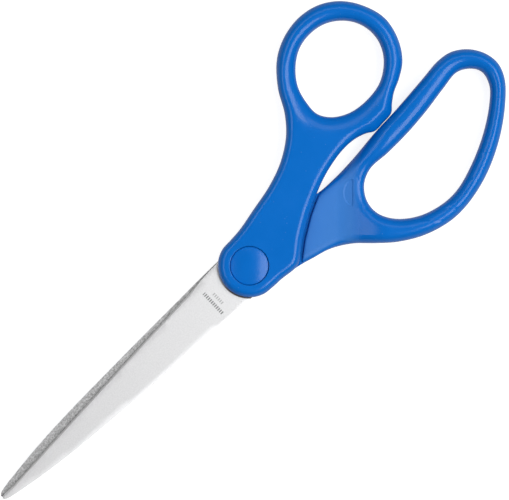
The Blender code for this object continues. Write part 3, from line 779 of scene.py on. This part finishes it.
def band(nodes, value, low, high, soft=0.04):
    """1 between the two values, 0 outside them."""
    rising = nodes.ranged(value, low - soft, low + soft, 0.0, 1.0)
    return nodes.math("MULTIPLY", rising, nodes.ranged(value, high - soft, high + soft, 1.0, 0.0))


def tick_row(nodes, x, y, along, across, ink):
    """A row of etched strokes across the blade, before it is broken up into strokes."""
    return nodes.scaled(nodes.math("MULTIPLY", band(nodes, x, *along), band(nodes, y, *across)), ink)


def etch_ticks_and_boss_shadow(nodes, shader):
    """Two rows of short etched strokes, and a painted shadow line where the blade leaves the boss."""
    base = shader["Base Color"].links[0].from_socket
    x, y, z = nodes.millimetres(nodes.place())
    stroke = band(nodes, nodes.math("FRACT", nodes.scaled(y, TICKS_PER_MM)), *TICK_INK, ETCH_SOFT)
    rows = nodes.math("ADD", tick_row(nodes, x, y, *LONG_TICKS), tick_row(nodes, x, y, *SHORT_TICKS))
    squares = nodes.math("ADD", nodes.math("MULTIPLY", x, x), nodes.math("MULTIPLY", y, y))
    # painted shadow: a dark ring on the blade's face where it leaves the boss, darker towards one side of the
    # blade
    line = band(nodes, nodes.math("SQRT", squares), *BOSS_SHADOW_LINE, ETCH_SOFT)
    line = nodes.math("MULTIPLY", line, nodes.ranged(y, *BOSS_SHADOW_FADE, *BOSS_SHADOW_DARKNESS))
    top = MEETING_Z + BLADE_OUTER
    on_face = nodes.ranged(z, top - ETCHED_FACE[0], top - ETCHED_FACE[1], 0.0, 1.0)
    etch_and_shadow_mask = nodes.math("MULTIPLY", nodes.math("MAXIMUM", nodes.math("MULTIPLY", rows, stroke), line), on_face)
    nodes.feed(shader["Base Color"], nodes.blend(etch_and_shadow_mask, base, ETCH_AND_SHADOW_GREY))


# Put together

def put(piece, node, body, slot, *materials):
    """The piece stands for that CAD node, on its body, in those materials."""
    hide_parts(node)
    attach(piece, body)
    for material in materials:
        piece.data.materials.append(material)


def make_handles(skin):
    finger_blue = blue_plastic("finger_handle_blue", skin, FINGER_RAMP, MEETING_Z + NECK_SKIN)
    thumb_blue = blue_plastic("thumb_handle_blue", skin, THUMB_RAMP, MEETING_Z - NECK_SKIN)
    thumb_drawn = THUMB_CORNER + THUMB_NECK + THUMB_RING
    finger_drawn = FINGER_LOOP + FINGER_NECK + FINGER_CORNER
    thumb = Handle(1, thumb_drawn, THUMB_HOLE, FINGER_NECK, THUMB_RAMP, THUMB_NECK_AT)
    finger = Handle(-1, finger_drawn, FINGER_HOLE, THUMB_NECK, FINGER_RAMP, FINGER_NECK_AT)
    thumb_piece, finger_piece = thumb.mesh("thumb_handle_moulding"), finger.mesh("finger_handle_moulding")
    put(thumb_piece, "thumb_handle", "thumb_half", "handle_plastic", thumb_blue)
    put(finger_piece, "finger_handle", "finger_half", "handle_plastic", finger_blue)


def make_blades(brushed):
    face, nodes, shader = steel("blade_face_steel", brushed)
    etch_ticks_and_boss_shadow(nodes, shader)
    # the inner faces' steel, darkened to paint the shade on the strip seen past the upper blade's edge
    ground = steel("blade_inner_shaded_steel", brushed)[0]
    for side, half in ((1, "thumb"), (-1, "finger")):
        piece = Blade(side).mesh(half + "_blade_ground")
        put(piece, half + "_blade", half + "_half", "blade_steel", face, ground)


def turned(name, profile, side):
    """A round piece about the pivot's axis, from a closed (radius, outwards) profile in millimetres."""
    shape = bmesh.new()
    verts = [shape.verts.new((radius * MM, 0.0, side * level * MM)) for radius, level in profile]
    edges = [shape.edges.new((verts[i - 1], verts[i])) for i in range(len(verts))]
    bmesh.ops.spin(
        shape, geom=verts + edges, cent=(0, 0, 0), axis=(0, 0, 1), angle=2 * math.pi, steps=ROUND_FACETS,
        use_merge=True
    )
    bmesh.ops.remove_doubles(shape, verts=shape.verts, dist=WELD)
    bmesh.ops.recalc_face_normals(shape, faces=shape.faces)
    bmesh.ops.translate(shape, verts=shape.verts, vec=(0, 0, MEETING_Z * MM))
    mesh = bpy.data.meshes.new(name)
    shape.to_mesh(mesh)
    shape.free()
    piece = bpy.data.objects.new(name, mesh)
    bpy.context.scene.collection.objects.link(piece)
    mesh.shade_smooth()
    mesh.set_sharp_from_angle(angle=math.radians(ROUND_SHARP))
    return piece


def cap_profile(dome):
    """A cap whose face falls by the dome's height to a rounded rim, and the ring that grips the bore."""
    face, base = CAP_RADIUS - CAP_RIM, HALF_HEIGHT - CAP_THICKNESS
    crown = HALF_HEIGHT + DOME_PROUD * dome
    profile = [(face * share, crown - dome * share ** 2) for share in np.linspace(0, 1, 16)]
    for turn in np.radians(range(15, 91, 15)):
        profile.append((face + CAP_RIM * math.sin(turn), crown - dome - CAP_RIM * (1 - math.cos(turn))))
    outer, inner, end = SKIRT_RADIUS, SKIRT_RADIUS - SKIRT_WALL, base - SKIRT_DEPTH
    profile += [(CAP_RADIUS, base), (outer, base), (outer, end), (inner, end), (inner, base), (0.0, base)]
    return profile


def make_caps(skin):
    blue = blue_plastic("cap_blue", skin)
    for side, half, dome in ((1, "thumb", THUMB_DOME), (-1, "finger", 0.0)):
        piece = turned(half + "_cap_moulding", cap_profile(dome), side)
        put(piece, half + "_cap", half + "_half", "cap_plastic", blue)


def finish_pivot(skin, brushed):
    """The pivot's own pieces keep their CAD shapes and get their finishes."""
    for node, name in PIVOT_STEELS.items():
        finish(node, steel(name, brushed)[0])
    finish("blade_washer", nylon(skin))


def finish(node, material):
    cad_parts[node].data.materials.clear()
    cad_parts[node].data.materials.append(material)


def nylon(skin):
    material, nodes, shader = new_material("washer_nylon", NYLON, NYLON_ROUGHNESS)
    marks = nodes.group(skin, {"Place": nodes.place(), "Texture Scale": NYLON_TEXTURE_SCALE})
    nodes.feed(shader["Base Color"], nodes.blend(marks["Clouds"], NYLON, NYLON_PALE))
    nodes.feed(shader["Roughness"], nodes.ranged(marks["Texture"], 0.0, 1.0, *NYLON_GLOSS))
    return material


def floor_paper():
    """White paper on a light table, which shines less on what lies on it than it looks."""
    material, nodes, shader = new_material("floor_paper", PAPER_GREY, PAPER_ROUGHNESS)
    shader["Emission Color"].default_value = WHITE
    looked_at = nodes.add("ShaderNodeLightPath").outputs["Is Camera Ray"]
    nodes.feed(shader["Emission Strength"], nodes.ranged(looked_at, 0.0, 1.0, *PAPER_GLOW))
    return material


def studio():
    mesh = bpy.data.meshes.new("floor")
    shape = bmesh.new()
    bmesh.ops.create_grid(shape, x_segments=1, y_segments=1, size=FLOOR_HALF_WIDTH)
    shape.to_mesh(mesh)
    shape.free()
    floor = bpy.data.objects.new("floor", mesh)
    bpy.context.scene.collection.objects.link(floor)
    mesh.materials.append(floor_paper())
    floor.location.z = -FLOOR_GAP
    world = bpy.data.worlds.new("studio")
    world.use_nodes = True
    sky = world.node_tree.nodes["Background"].inputs
    sky["Color"].default_value = WHITE
    sky["Strength"].default_value = SKY_STRENGTH
    bpy.context.scene.world = world
    bpy.context.scene.view_settings.view_transform = "Standard"
    for name, (right, up, size, radiance) in SOFTBOXES.items():
        softbox(name, right, up, size, radiance)


def softbox(name, right, up, size, radiance):
    """A soft light over the pivot, leaning to the view's right and up by the angles in degrees."""
    view_right = Vector((-math.cos(VIEW_TURN), math.sin(VIEW_TURN), 0.0))
    view_up = Vector((-math.sin(VIEW_TURN), -math.cos(VIEW_TURN), 0.0))
    lean = math.tan(math.radians(right)) * view_right + math.tan(math.radians(up)) * view_up
    place = LIGHT_DISTANCE * (lean + Vector((0.0, 0.0, 1.0))).normalized()
    light = bpy.data.lights.new(name, "AREA")
    light.shape = "RECTANGLE"
    light.size, light.size_y = size
    light.energy = radiance * math.pi * size[0] * size[1]
    lamp = bpy.data.objects.new(name, light)
    bpy.context.scene.collection.objects.link(lamp)
    back = place.normalized()
    across = view_up.cross(back).normalized()
    turn = Matrix((across, back.cross(across), back)).transposed().to_4x4()
    lamp.matrix_world = Matrix.Translation(place) @ turn
    lamp.visible_camera = False


def camera():
    """Straight above the closed scissors, with the tips at the lower left."""
    data = bpy.data.cameras.new("camera")
    data.sensor_width = SENSOR
    data.lens = LENS
    data.clip_start, data.clip_end = 0.1, 10.0
    eye = bpy.data.objects.new("camera", data)
    bpy.context.scene.collection.objects.link(eye)
    eye.location = (*VIEW_CENTRE, MEETING_Z * MM + VIEW_WIDTH * LENS / SENSOR)
    eye.rotation_euler = (0.0, 0.0, math.pi - VIEW_TURN)
    bpy.context.scene.camera = eye


camera()
studio()
skin_group = moulding_skin_group()
brushed_steel_group = brushed_group()
make_handles(skin_group)
make_blades(brushed_steel_group)
make_caps(skin_group)
finish_pivot(skin_group, brushed_steel_group)
